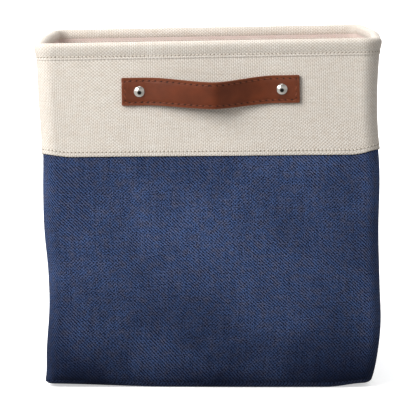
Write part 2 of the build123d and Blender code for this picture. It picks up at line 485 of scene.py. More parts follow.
def signed_volume(mesh: Any) -> float:
    """Volume of a closed mesh, negative when its faces point inward."""
    mesh.calc_loop_triangles()
    spots = np.empty(len(mesh.vertices) * 3)
    mesh.vertices.foreach_get("co", spots)
    ids = np.empty(len(mesh.loop_triangles) * 3, dtype=np.int32)
    mesh.loop_triangles.foreach_get("vertices", ids)
    a, b, c = spots.reshape(-1, 3)[ids.reshape(-1, 3)].transpose(1, 0, 2)
    return float((a * np.cross(b, c)).sum() / 6)


@dataclass(frozen=True)
class Profile:
    """A soft wall's lean: how far it stands out at each height, in one smooth curve."""

    stations: tuple[tuple[float, float], ...]

    def at(self, level: np.ndarray) -> np.ndarray:
        """Outward offset in metres at heights in metres."""
        levels = np.array([s[0] for s in self.stations]) * MM
        offsets = np.array([s[1] for s in self.stations]) * MM
        slot = np.clip(np.searchsorted(levels, level, side="right") - 1, 0, len(levels) - 2)
        slopes = np.gradient(offsets, levels)
        gap = levels[slot + 1] - levels[slot]
        t = np.clip((level - levels[slot]) / gap, 0, 1)
        ease = smooth(t)
        bend = t * (1 - t) * ((1 - t) * slopes[slot] - t * slopes[slot + 1]) * gap
        return offsets[slot] * (1 - ease) + offsets[slot + 1] * ease + bend


@dataclass(frozen=True)
class Swell:
    """A soft rise (or, if negative, a hollow) on the front or rear wall."""

    across_mm: float
    level_mm: float
    wide_mm: float
    tall_mm: float
    rise_mm: float

    def at(self, x: np.ndarray, z: np.ndarray) -> np.ndarray:
        """Outward offset in metres at places on the wall."""
        dx = (x / MM - self.across_mm) / self.wide_mm
        dz = (z / MM - self.level_mm) / self.tall_mm
        return self.rise_mm * MM * np.exp(-(dx**2) - dz**2)


@dataclass(frozen=True)
class BinForm:
    """The bin's outline, layer by layer, and the way its soft walls lean and swell."""

    corner_centre: float = 147 * MM
    corner_radius: float = 18 * MM
    height: float = 336 * MM
    base_inset: float = 6 * MM
    rim_tilt: float = math.tan(math.radians(1.0))
    band_bottom: float = 226 * MM
    band_tilt: float = math.tan(math.radians(0.5))
    left: Profile = Profile((
        (0, 1.6), (9, 0.0), (36, -1.2), (84, -5.0), (112, -4.6),
        (155, -1.6), (190, -1.4), (228, -2.4), (286, -0.6), (324, 0.0),
    ))
    right: Profile = Profile((
        (0, 0.8), (10, 3.2), (30, 6.6), (60, 9.2), (100, 7.3),
        (150, 5.0), (212, 4.4), (262, -0.6), (300, -1.6), (324, -0.6),
    ))
    front: tuple[Swell, ...] = (
        Swell(60, 25, 80, 40, 3.5),
        Swell(-30, 130, 90, 60, 1.8),
        Swell(90, 150, 40, 70, -1.2),
        Swell(-110, 190, 35, 60, 1.0),
        Swell(18, 190, 30, 45, 3.2),
        Swell(-72, 120, 26, 80, -2.8),
        Swell(118, 130, 22, 80, 3.0),
        Swell(-128, 60, 20, 50, 2.2),
        Swell(70, 80, 28, 40, -2.4),
    )
    rear: tuple[Swell, ...] = (Swell(-40, 110, 90, 70, 2.2), Swell(80, 60, 50, 40, -1.0))
    half_width: float = 165 * MM
    bow_right: float = 6 * MM
    bow_left: float = 3 * MM
    bow_width: float = 115 * MM
    bow_start: float = 200 * MM
    swell_top: float = 262 * MM
    tuck: float = 5 * MM
    tuck_top: float = 19 * MM
    lift_left: float = 3 * MM
    lift_right: float = 3.6 * MM
    band_lift_left: float = 2.6 * MM
    band_lift_right: float = 4.4 * MM

    def rim_level(self, x: np.ndarray) -> np.ndarray:
        """Height of the rim's top, which rises to the right."""
        return self.height + self.rim_tilt * x

    def band_level(self, x: np.ndarray) -> np.ndarray:
        """Height of the cream band's lower edge, which is pulled up at both corners."""
        left = self.band_lift_left * smooth((-x - 0.132) / 0.03)
        right = self.band_lift_right * smooth((x - 0.134) / 0.03)
        return self.band_bottom + self.band_tilt * x + left + right

    def walk(self, step: float) -> tuple[np.ndarray, np.ndarray, np.ndarray]:
        """Stations round the bin, from the middle of the rear by the left side and the front.

        Args:
            step: Rough distance between stations.

        Returns:
            Corner-centre places, outward directions and distances run, the last with its end added.
        """
        c, arc = self.corner_centre, math.pi / 2 * self.corner_radius
        spots, ways, runs, run = [], [], [], 0.0
        corners = [(-c, c, 90.0), (-c, -c, 180.0), (c, -c, 270.0), (c, c, 0.0)]
        previous = (0.0, c)
        for x, y, start in corners + [(0.0, c, 90.0)]:
            way = (math.cos(math.radians(start)), math.sin(math.radians(start)))
            length = math.hypot(x - previous[0], y - previous[1])
            parts = max(1, round(length / step))
            for i in range(parts):
                t = i / parts
                spots.append((previous[0] * (1 - t) + x * t, previous[1] * (1 - t) + y * t))
                ways.append(way)
                runs.append(run + length * t)
            run += length
            previous = (x, y)
            if x == 0.0:
                continue
            parts = max(8, round(arc / step))
            for i in range(parts):
                angle = math.radians(start + 90 * i / parts)
                spots.append((x, y))
                ways.append((math.cos(angle), math.sin(angle)))
                runs.append(run + arc * i / parts)
            run += arc
        return np.array(spots), np.array(ways), np.array(runs + [run])

    def spread(
        self, spots: np.ndarray, ways: np.ndarray, inset: Any, level: np.ndarray
    ) -> np.ndarray:
        """Places on a layer before the cloth leans.

        Args:
            spots: Corner-centre places.
            ways: Outward directions.
            inset: Distance inside the hem's face.
            level: Height of each place.

        Returns:
            Points of shape (N, 3).
        """
        reach = self.corner_radius - inset - self.base_inset * (1 - level / self.height)
        flat = spots + ways * np.asarray(reach)[..., None]
        return np.concatenate([flat, np.asarray(level)[..., None]], axis=-1)

    def settle(self, points: np.ndarray) -> np.ndarray:
        """Lean, swell and lift the cloth from its straight shape to its resting shape."""
        x, y, z = points[..., 0], points[..., 1], points[..., 2]
        right_share = np.clip((x / self.half_width + 1) / 2, 0, 1)
        lean = self.right.at(z) * right_share - self.left.at(z) * (1 - right_share)
        bow = np.exp(-((y / self.bow_width) ** 2)) * smooth((z - self.bow_start) / 0.12)
        lean = lean + bow * (self.bow_right * right_share - self.bow_left * (1 - right_share))
        rear_share = np.clip((y / self.half_width + 1) / 2, 0, 1)
        flat_part = smooth((0.158 - np.abs(x)) / 0.03)
        fade = smooth((self.swell_top - z) / 0.05)
        front = sum(s.at(x, z) for s in self.front) * flat_part * fade
        rear = sum(s.at(x, z) for s in self.rear) * flat_part * fade
        low = np.clip(1 - z / self.tuck_top, 0, 1) ** 1.6
        tuck = self.tuck * low * np.sign(y) * smooth(np.abs(y) / 0.15)
        settled = self.raise_corners(points)
        settled[..., 0] = x + lean
        settled[..., 1] = y + rear * rear_share - front * (1 - rear_share) - tuck
        return settled

    def raise_corners(self, points: np.ndarray) -> np.ndarray:
        """Turn the bottom corners up a little, as the seam pulls on them."""
        x, y, z = points[..., 0], points[..., 1], points[..., 2]
        low = np.exp(-np.clip(z, 0, None) / 0.018) * smooth((np.abs(y) - 0.06) / 0.08)
        left = self.lift_left * smooth((-x - 0.04) / 0.11)
        right = self.lift_right * smooth((x - 0.115) / 0.035)
        raised = points.copy()
        raised[..., 2] = z + (left + right) * low
        return raised


@dataclass(frozen=True)
class Fold:
    """One corner of a layer's section: its inset, and its height from the layer's foot or head."""

    inset_mm: float
    share: float
    rise_mm: float = 0.0


@dataclass(frozen=True)
class Pucker:
    """Small pulls in the cloth along a row of stitches."""

    inset_mm: float
    rise_mm: float
    pitch_mm: float


@dataclass(frozen=True)
class WallLayer:
    """A layer of cloth that runs all the way round the bin, with stations a step apart."""

    form: BinForm
    name: str
    step: float

    def build(
        self,
        section: Sequence[Fold],
        foot: Callable[[np.ndarray], np.ndarray],
        head: Callable[[np.ndarray], np.ndarray],
        puckers: dict[int, Pucker] | None = None,
        crisp: float = 60.0,
    ) -> Any:
        """Sweep a closed section round the bin.

        Args:
            section: The section's corners, in order.
            foot: Height of the layer's foot at a place across the bin.
            head: Height of its head.
            puckers: Pulls by the section's corner number.
            crisp: Edges sharper than this angle shade as sharp.

        Returns:
            The layer's object.
        """
        spots, ways, runs = self.form.walk(self.step)
        outer = spots + ways * self.form.corner_radius
        low, high = foot(outer[:, 0]), head(outer[:, 0])
        columns = []
        for i, fold in enumerate(section):
            inset = np.full(len(spots), fold.inset_mm * MM)
            level = low + fold.share * (high - low) + fold.rise_mm * MM
            pull = (puckers or {}).get(i)
            if pull:
                wave = np.sin(2 * math.pi * runs[:-1] / (pull.pitch_mm * MM))
                inset = inset + pull.inset_mm * MM * wave
                level = level + pull.rise_mm * MM * wave
            columns.append(self.form.spread(spots, ways, inset, level))
        loops = self.form.settle(np.stack(columns, axis=1))
        first = loops[0]
        steps = np.linalg.norm(np.diff(np.vstack([first, first[:1]]), axis=0), axis=1)
        rises = np.concatenate([[0.0], np.cumsum(steps)])
        uv = np.stack(np.meshgrid(runs, rises, indexing="ij"), axis=-1)
        return loft(self.name, loops, Ends.JOINED, uv, crisp)


def dressed(piece: Any, material: Any, body: str, nodes: Sequence[str] = ()) -> Any:
    """Give a piece its material and its place in the frame.

    Args:
        piece: The object.
        material: Its material.
        body: The body that it rides on.
        nodes: CAD nodes that it stands for.

    Returns:
        The same object.
    """
    piece.data.materials.clear()
    piece.data.materials.append(material)
    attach(piece, body)
    if nodes:
        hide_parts(*nodes)
    LOG.info("%s: %d faces, rides on %s", piece.name, len(piece.data.polygons), body)
    return piece


@dataclass(frozen=True)
class Bead:
    """Sizes in mm and angles in radians of the beads in one row of sewing or of holes."""

    pitch: float
    length: float
    width: float
    height: float
    seed: int
    slant: float = 0.0
    unevenness: float = 0.1
    shift: float = 0.0


class StitchTree:
    """A Geometry Nodes tree that repeats one small bead along a marked line."""

    INPUTS = (
        ("Pitch", "NodeSocketFloat", 0.004),
        ("Length", "NodeSocketFloat", 0.003),
        ("Width", "NodeSocketFloat", 0.0007),
        ("Height", "NodeSocketFloat", 0.0005),
        ("Slant", "NodeSocketFloat", 0.0),
        ("Unevenness", "NodeSocketFloat", 0.1),
        ("Shift", "NodeSocketFloat", 0.0),
        ("Seed", "NodeSocketInt", 1),
        ("Material", "NodeSocketMaterial", None),
    )

    def __init__(self) -> None:
        """Build the tree: a line cut at the pitch, with an uneven bead at each cut."""
        tree = bpy.data.node_groups.new("bead_row", "GeometryNodeTree")
        face = tree.interface
        face.new_socket("Geometry", in_out="INPUT", socket_type="NodeSocketGeometry")
        for name, kind, value in self.INPUTS:
            socket = face.new_socket(name, in_out="INPUT", socket_type=kind)
            if value is not None:
                socket.default_value = value
        face.new_socket("Geometry", in_out="OUTPUT", socket_type="NodeSocketGeometry")
        entry = add(tree, "NodeGroupInput").outputs
        curve = add(tree, "GeometryNodeMeshToCurve", {"Mesh": entry["Geometry"]})
        cuts = {"Curve": curve, "Length": entry["Pitch"]}
        line = add(tree, "GeometryNodeResampleCurve", cuts, mode="LENGTH")
        along = add(tree, "GeometryNodeInputTangent")
        named = "GeometryNodeInputNamedAttribute"
        marks = add(tree, named, {"Name": "facing"}, data_type="FLOAT_VECTOR")
        outward = marks.outputs["Attribute"]
        offset = add(tree, VECTOR, {0: along, "Scale": entry["Shift"]}, operation="SCALE")
        moved = add(tree, "GeometryNodeSetPosition", {"Geometry": line, "Offset": offset})
        axes = {"primary_axis": "X", "secondary_axis": "Z"}
        upright = add(tree, "FunctionNodeAxesToRotation", {0: along, 1: outward}, **axes)
        limits = {"Min": -1.0, "Max": 1.0, "Seed": entry["Seed"]}
        draw = add(tree, "FunctionNodeRandomValue", limits, data_type="FLOAT")
        chance = {0: draw.outputs["Value"], 1: entry["Unevenness"]}
        jitter = add(tree, MATH, chance, operation="MULTIPLY")
        turn = add(tree, MATH, {0: jitter, 1: entry["Slant"]}, operation="ADD")
        angles = add(tree, "ShaderNodeCombineXYZ", {"Z": turn})
        spin = {0: upright, 1: add(tree, "FunctionNodeEulerToRotation", {0: angles})}
        slanted = add(tree, "FunctionNodeRotateRotation", spin, rotation_space="LOCAL")
        sides = {"X": entry["Length"], "Y": entry["Width"], "Z": entry["Height"]}
        size = add(tree, "ShaderNodeCombineXYZ", sides)
        grow = add(tree, MATH, {0: jitter, 1: 1.0}, operation="ADD")
        scale = add(tree, VECTOR, {0: size, "Scale": grow}, operation="SCALE")
        ball = {"Segments": 8, "Rings": 6, "Radius": 0.5}
        bead = add(tree, "GeometryNodeMeshUVSphere", ball).outputs["Mesh"]
        places = {"Points": moved, "Instance": bead, "Rotation": slanted, "Scale": scale}
        row = add(tree, "GeometryNodeInstanceOnPoints", places)
        real = add(tree, "GeometryNodeRealizeInstances", {0: row})
        rounded = add(tree, "GeometryNodeSetShadeSmooth", {0: real})
        look = {"Geometry": rounded, "Material": entry["Material"]}
        add(tree, "NodeGroupOutput", {0: add(tree, "GeometryNodeSetMaterial", look)})
        self.tree = tree

    def row(
        self,
        name: str,
        line: tuple[np.ndarray, np.ndarray],
        closed: bool,
        material: Any,
        bead: Bead,
    ) -> Any:
        """Sew a row of beads along a line.

        Args:
            name: The piece's name.
            line: The line's points and its outward directions.
            closed: Whether the line's end joins its start.
            material: The beads' material.
            bead: The beads' sizes.

        Returns:
            A plain mesh object.
        """
        count = len(line[0])
        edges = [(i, (i + 1) % count) for i in range(count if closed else count - 1)]
        mesh = bpy.data.meshes.new(name + "_line")
        mesh.from_pydata(line[0].tolist(), edges, [])
        mark = mesh.attributes.new("facing", "FLOAT_VECTOR", "POINT")
        mark.data.foreach_set("vector", line[1].ravel())
        guide = bpy.data.objects.new(name + "_line", mesh)
        bpy.context.scene.collection.objects.link(guide)
        modifier = guide.modifiers.new("beads", "NODES")
        modifier.node_group = self.tree
        values = {
            "Pitch": bead.pitch * MM,
            "Length": bead.length * MM,
            "Width": bead.width * MM,
            "Height": bead.height * MM,
            "Slant": bead.slant,
            "Unevenness": bead.unevenness,
            "Shift": bead.shift * MM,
            "Seed": bead.seed,
            "Material": material,
        }
        for item in self.tree.interface.items_tree:
            if item.in_out == "INPUT" and item.name in values:
                modifier[item.identifier] = values[item.name]
        graph = bpy.context.evaluated_depsgraph_get()
        baked = bpy.data.meshes.new_from_object(guide.evaluated_get(graph))
        bpy.data.objects.remove(guide)
        baked.name = name
        piece = bpy.data.objects.new(name, baked)
        bpy.context.scene.collection.objects.link(piece)
        return piece


@dataclass(frozen=True)
class ClothBody:
    """The bin's cloth: navy wall and base, cream band and hem, lining, felt and their seams.

    Faces, insets and rises are in mm: insets from the hem's face, rises from a foot or the rim.
    """

    form: BinForm
    finishes: Finishes
    stitches: StitchTree
    wall_faces: tuple[float, float] = (2.0, 3.4)
    wall_foot: float = 5.0
    wall_drop: float = 9.5
    wall_rows: int = 66
    base_seam: tuple[float, float] = (5.6, 5.2)
    base_edge: tuple[float, float] = (7.0, 5.0)
    base_radii: tuple[float, float] = (5.0, 3.6)
    ring_shares: tuple[float, ...] = (0.98, 0.9, 0.75, 0.6, 0.45, 0.3, 0.15, 0.04)
    band_face: float = 0.8
    band_back: float = 2.0
    band_start: float = 10.0
    band_drop: float = 13.0
    band_rows: int = 20
    band_fold: tuple[tuple[float, float], ...] = (
        (1.95, 0.6), (1.5, 0.05), (0.9, 0.0), (0.55, 0.6), (0.5, 2.2), (0.85, 4.4), (0.62, 6.4),
    )
    hem_lip: tuple[tuple[float, float], ...] = (
        (0.8, -16.5), (0.5, -16.3), (0.3, -15.7), (0.2, -14.7), (0.7, -13.3), (0.3, -12.2),
        (-0.35, -10.0), (-0.95, -7.0), (-1.15, -5.2),
    )
    hem_tail: tuple[tuple[float, float], ...] = (
        (8.1, -5.4), (8.0, -6.6), (7.5, -8.4), (6.95, -9.5), (7.1, -5.0),
    )
    wire_centre: float = 4.0
    wire_radius: float = 1.75
    hem_radius: float = 4.05
    hem_roll: float = 5.15
    tunnel_centre: float = 4.45
    tunnel_radius: float = 2.65
    lining_faces: tuple[float, float] = (6.05, 6.8)
    lining_foot: float = 1.8
    lining_drop: float = 6.0
    lining_rows: int = 56
    felt_faces: tuple[float, float] = (3.45, 5.95)
    felt_half_width: float = 145.0
    felt_foot: float = 6.0
    felt_drop: float = 10.0
    felt_rows: int = 32
    hem_seam_rise: float = -13.3
    thread: Bead = Bead(3.7, 2.6, 0.9, 0.9, seed=3, slant=0.12)
    # Dark beads of painted shade in the needle holes.
    hole: Bead = Bead(3.7, 1.2, 1.4, 0.6, seed=5, shift=1.85, unevenness=0.12)
    # A row of dark beads: painted shadow under the band's folded lower edge.
    gap: Bead = Bead(2.9, 2.0, 1.3, 0.8, seed=11, shift=0.7, unevenness=0.12)

    def build(self) -> None:
        """Build every layer."""
        self.navy_wall()
        self.navy_base()
        self.cream_band()
        self.rim_hoop()
        self.lining()
        self.felt()
        self.seams()

    def level(self, height_mm: float) -> Callable[[np.ndarray], np.ndarray]:
        """A flat foot or head at one height."""
        return lambda x: np.full_like(x, height_mm * MM)

    def wall_section(self, faces: Sequence[float], drop: float, rows: int) -> list[Fold]:
        """Section of a plain wall layer: up the outside, over, and down the inside.

        Args:
            faces: Insets of its outer and inner face.
            drop: How far below the rim it ends.
            rows: Rows of faces on each side.

        Returns:
            The section's corners.
        """
        outer, inner = faces
        middle = (outer + inner) / 2
        up = [Fold(outer, i / rows, -drop * i / rows) for i in range(rows + 1)]
        down = [Fold(inner, 1 - i / rows, -drop * (1 - i / rows)) for i in range(rows + 1)]
        return up + [Fold(middle, 1, -drop + 0.25)] + down + [Fold(middle, 0, -0.2)]

    def navy_wall(self) -> None:
        """The main wall, from the base seam to under the hem."""
        section = self.wall_section(self.wall_faces, self.wall_drop, self.wall_rows)
        wall = WallLayer(self.form, "navy_wall_cloth", 5 * MM).build(
            section, self.level(self.wall_foot), self.form.rim_level
        )
        dressed(wall, self.finishes.get(Finish.NAVY), "bin", ["outer_wall"])

    def rings(self, folds: Sequence[tuple[float, float]]) -> np.ndarray:
        """Rings of a panel from its edge to its middle, of shape (K, M, 3), still straight.

        Args:
            folds: Inset and height of each ring outside the corner centres.
        """
        spots, ways, _ = self.form.walk(6 * MM)
        out = []
        for inset, height in folds:
            level = np.full(len(spots), height * MM)
            out.append(self.form.spread(spots, ways, inset * MM, level))
        last = np.full(len(spots), folds[-1][1] * MM)
        out += [np.column_stack([spots * share, last]) for share in self.ring_shares]
        return np.array(out)

    def panel(self, name: str, under: np.ndarray, over: np.ndarray) -> Any:
        """Close two stacks of rings into one flat panel with planar texture places."""
        loops = self.form.settle(np.concatenate([under[::-1], over]))
        wrapped = np.concatenate([loops, loops[-1:]])
        wrapped = np.concatenate([wrapped, wrapped[:, :1]], axis=1)
        uv = wrapped[..., :2] * (1 + wrapped[..., 2:3])
        return loft(name, loops, Ends.FAN, uv)

    def navy_base(self) -> None:
        """The base panel, rounded up at its edge to the wall seam."""
        stacks = []
        inset, rise = self.base_edge
        for face, radius in zip(self.wall_faces, self.base_radii):
            folds = [(face, height) for height in self.base_seam]
            for i in range(6):
                a = math.radians(18 * i)
                folds.append((inset - radius * math.cos(a), rise - radius * math.sin(a)))
            stacks.append(self.rings(folds))
        base = self.panel("navy_base_cloth", *stacks)
        dressed(base, self.finishes.get(Finish.NAVY), "bin", ["outer_base"])

    def cream_band(self) -> None:
        """The band laid over the top third of the wall, its lower edge folded under."""
        section = [Fold(inset, 0, rise) for inset, rise in self.band_fold]
        for i in range(self.band_rows + 1):
            share = i / self.band_rows
            fall = (self.band_start + self.band_drop) * share
            section.append(Fold(self.band_face, share, self.band_start - fall))
        section += [Fold(1.4, 1, 0.3 - self.band_drop)]
        for i in range(6):
            section.append(Fold(self.band_back, 1 - i / 6, -self.band_drop + 14.5 * i / 6))
        puckers = {
            1: Pucker(0.0, 0.4, self.gap.pitch),
            2: Pucker(0.1, 0.55, self.gap.pitch),
            3: Pucker(0.15, 0.45, self.gap.pitch),
            5: Pucker(0.16, 0.0, self.thread.pitch),
        }
        band = WallLayer(self.form, "cream_band_cloth", 1.45 * MM).build(
            section, self.form.band_level, self.form.rim_level, puckers
        )
        dressed(band, self.finishes.get(Finish.CREAM), "bin", ["upper_band"])
        self.hem()

    def hem(self) -> Any:
        """The band's top folded over the rim wire, with a stitched edge outside.

        Returns:
            The hem's object.
        """
        centre, radius = self.wire_centre, self.hem_radius
        section = [Fold(inset, 1, rise) for inset, rise in self.hem_lip]
        for i in range(13):
            a = math.radians(15 * i)
            reach = self.hem_roll if i < 6 else radius
            section.append(Fold(centre - reach * math.cos(a), 1, -centre + radius * math.sin(a)))
        section += [Fold(inset, 1, rise) for inset, rise in self.hem_tail]
        for i in range(9):
            a = math.radians(22.5 * i)
            inset = self.tunnel_centre + self.tunnel_radius * math.cos(a)
            section.append(Fold(inset, 1, -centre + self.tunnel_radius * math.sin(a)))
        section += [Fold(1.8, 1, -11.0), Fold(0.75, 1, -12.4)]
        depths = {3: 0.1, 4: 0.2, 5: 0.1}
        puckers = {i: Pucker(deep, 0.0, self.thread.pitch) for i, deep in depths.items()}
        hem = WallLayer(self.form, "cream_rim_hem", 1.3 * MM).build(
            section, self.level(0.0), self.form.rim_level, puckers
        )
        return dressed(hem, self.finishes.get(Finish.CREAM), "bin", ["upper_band"])

    def rim_hoop(self) -> None:
        """The wire in the hem, which bows out at the sides with it."""
        centre, radius = self.wire_centre, self.wire_radius
        section = []
        for i in range(12):
            a = math.radians(30 * i)
            section.append(Fold(centre + radius * math.cos(a), 1, -centre + radius * math.sin(a)))
        hoop = WallLayer(self.form, "rim_wire_hoop", 5 * MM).build(
            section, self.level(0.0), self.form.rim_level, crisp=80.0
        )
        dressed(hoop, self.finishes.get(Finish.WIRE), "bin", ["rim_wire"])

    def lining(self) -> None:
        """Thin lining of the walls and the floor."""
        section = self.wall_section(self.lining_faces, self.lining_drop, self.lining_rows)
        wall = WallLayer(self.form, "lining_wall_cloth", 6 * MM).build(
            section, self.level(self.lining_foot), self.form.rim_level
        )
        material = self.finishes.get(Finish.LINING)
        dressed(wall, material, "bin", ["lining_wall"])
        under = self.rings([(7.2, 1.8), (7.2, 1.5), (8.0, 1.42)])
        over = self.rings([(7.2, 1.9), (7.4, 2.15), (8.0, 2.2)])
        floor = self.panel("lining_floor_cloth", under, over)
        dressed(floor, material, "bin", ["lining_base"])

    def felt(self) -> None:
        """Stiff felt panel of each wall, between the navy cloth and the lining."""
        rows = self.felt_rows
        reach = np.linspace(-self.felt_half_width, self.felt_half_width, 30) * MM
        for side, turn in (("front", 0), ("right", 90), ("rear", 180), ("left", 270)):
            angle = math.radians(turn)
            along = np.array([math.cos(angle), math.sin(angle)])
            way = np.array([math.sin(angle), -math.cos(angle)])
            loops = []
            for run in reach:
                spot = along * run + way * self.form.corner_centre
                top = self.form.rim_level(spot[:1])[0] - self.felt_drop * MM
                levels = np.linspace(self.felt_foot * MM, top, rows)
                level = np.concatenate([levels, levels[::-1]])
                inset = np.repeat(np.array(self.felt_faces) * MM, rows)
                spots = np.repeat(spot[None], 2 * rows, 0)
                ways = np.repeat(way[None], 2 * rows, 0)
                loops.append(self.form.spread(spots, ways, inset, level))
            loops = self.form.settle(np.array(loops))
            rises = np.linspace(0, 0.32, rows)
            rises = np.concatenate([rises, rises[::-1], [0.0]])
            runs = np.concatenate([reach, reach[-1:]])
            uv = np.stack(np.meshgrid(runs, rises, indexing="ij"), axis=-1)
            panel = loft(f"{side}_felt_panel", loops, Ends.FLAT, uv, 40)
            dressed(panel, self.finishes.get(Finish.FELT), "bin", [f"{side}_stiffener"])

    def line(self, inset: float, level: Callable[[np.ndarray], np.ndarray], rise: float) -> Any:
        """Points of a closed line round the settled bin, and its outward directions."""
        spots, ways, _ = self.form.walk(1.2 * MM)
        outer = spots + ways * self.form.corner_radius
        height = level(outer[:, 0]) + rise * MM
        points = self.form.settle(self.form.spread(spots, ways, inset * MM, height))
        return points, np.column_stack([ways, np.zeros(len(ways))])

    def seams(self) -> None:
        """Sewing along the hem and along the band's lower edge, with dark beads of painted shade in
        its needle holes and of painted shadow under the band's edge.
        """
        rim, edge = self.form.rim_level, self.form.band_level
        outside = self.line(0.5, rim, self.hem_seam_rise)
        inside = self.line(6.85, rim, self.hem_seam_rise)
        low, lowest = self.line(0.75, edge, 4.4), self.line(1.9, edge, -0.25)
        thread, hole, gap = Finish.CREAM_THREAD, Finish.CLOTH_HOLE, Finish.CLOTH_GAP
        for name, line, finish, bead, slot in (
            ("hem_seam_thread", outside, thread, self.thread, "cream_cloth"),
            # The hole beads are dark painted shade in the needle holes.
            ("hem_seam_holes", outside, hole, self.hole, "cream_cloth"),
            ("hem_inner_seam_thread", inside, thread, self.thread, "cream_cloth"),
            ("band_seam_thread", low, thread, self.thread, "cream_cloth"),
            ("band_seam_holes", low, hole, self.hole, "cream_cloth"),
            # Painted shadow: dark beads just under the band's folded lower edge.
            ("band_edge_painted_shadow", lowest, gap, self.gap, "navy_cloth"),
        ):
            material = self.finishes.get(finish)
            row = self.stitches.row(name, line, True, material, bead)
            dressed(row, material, "bin")


@dataclass(frozen=True)
class Strap:
    """Sizes of one leather strap, in mm, along its own length, height and outward axes."""

    half_length: float = 85.0
    width: float = 26.6
    backing: float = 1.2
    thickness: float = 1.8
    bow: float = 15.0
    sag: float = 3.5
    roll: float = math.radians(15)
    bow_left: float = 66.0
    bow_right: float = 58.0
    peak: float = 4.0
    peak_round: float = 4.0
    stitch_inset: float = 3.1

    def free(self, x: np.ndarray) -> np.ndarray:
        """How far each place along the strap follows the free middle, from 0 to 1."""
        reach = np.where(x < self.peak, self.bow_left, self.bow_right)
        return smooth(1 - np.abs(x - self.peak) / reach)

    def rise(self, x: np.ndarray) -> np.ndarray:
        """How far each place bows out, from 0 to 1: a gentle left slope and a tight right one."""
        reach = np.where(x < self.peak, self.bow_left, self.bow_right)
        power = np.where(x < self.peak, 1.3, 1.9)
        gap = np.sqrt((x - self.peak) ** 2 + self.peak_round**2) - self.peak_round
        return np.clip(1 - gap / (reach - self.peak_round), 0, 1) ** power

    def place(self, x: np.ndarray, y: np.ndarray, out: np.ndarray) -> np.ndarray:
        """Points of the strap: x along it, y across it, out from its back face.

        Args:
            x: Distance from the middle.
            y: Distance up from the centre line.
            out: Distance out from the back face.

        Returns:
            Points in mm in the handle's own frame.
        """
        share = self.free(x)
        step = 0.5
        slope = (self.rise(x + step) - self.rise(x - step)) / (2 * step) * self.bow
        tilt = np.arctan(slope)
        roll = self.roll * share
        px = x - out * np.sin(tilt)
        py = y * np.cos(roll) - self.sag * share - out * np.cos(tilt) * np.sin(roll)
        pz = self.bow * self.rise(x) + y * np.sin(roll) + out * np.cos(tilt) * np.cos(roll)
        return np.stack([px, py, pz], axis=-1)


@dataclass(frozen=True)
class Rivet:
    """Sizes of a domed rivet in mm: its cap, its shank and its distance from the middle."""

    radius: float = 5.2
    rise: float = 2.2
    skirt: float = 0.6
    shank: float = 1.5
    shank_end: float = -6.9
    reach: float = 68.0

    def profile(self, top: float) -> list[tuple[float, float]]:
        """Radius and outward place of each ring, from the dome's crown to the shank's end."""
        ball = (self.radius**2 + self.rise**2) / (2 * self.rise)
        crown = top + self.skirt + self.rise
        rings = [(0.02, crown)]
        for i in range(1, 15):
            r = self.radius * math.sin(math.radians(6 * i))
            rings.append((r, crown - ball + math.sqrt(ball**2 - r**2)))
        rings += [(self.radius, top + self.skirt), (self.radius + 0.05, top + self.skirt * 0.6)]
        rings += [(self.radius, top + 0.05), (self.radius - 0.2, top), (self.shank, top)]
        return rings + [(self.shank, self.shank_end), (0.02, self.shank_end)]


class Side(Enum):
    """Which wall a handle is on."""

    FRONT = "front"
    REAR = "rear"


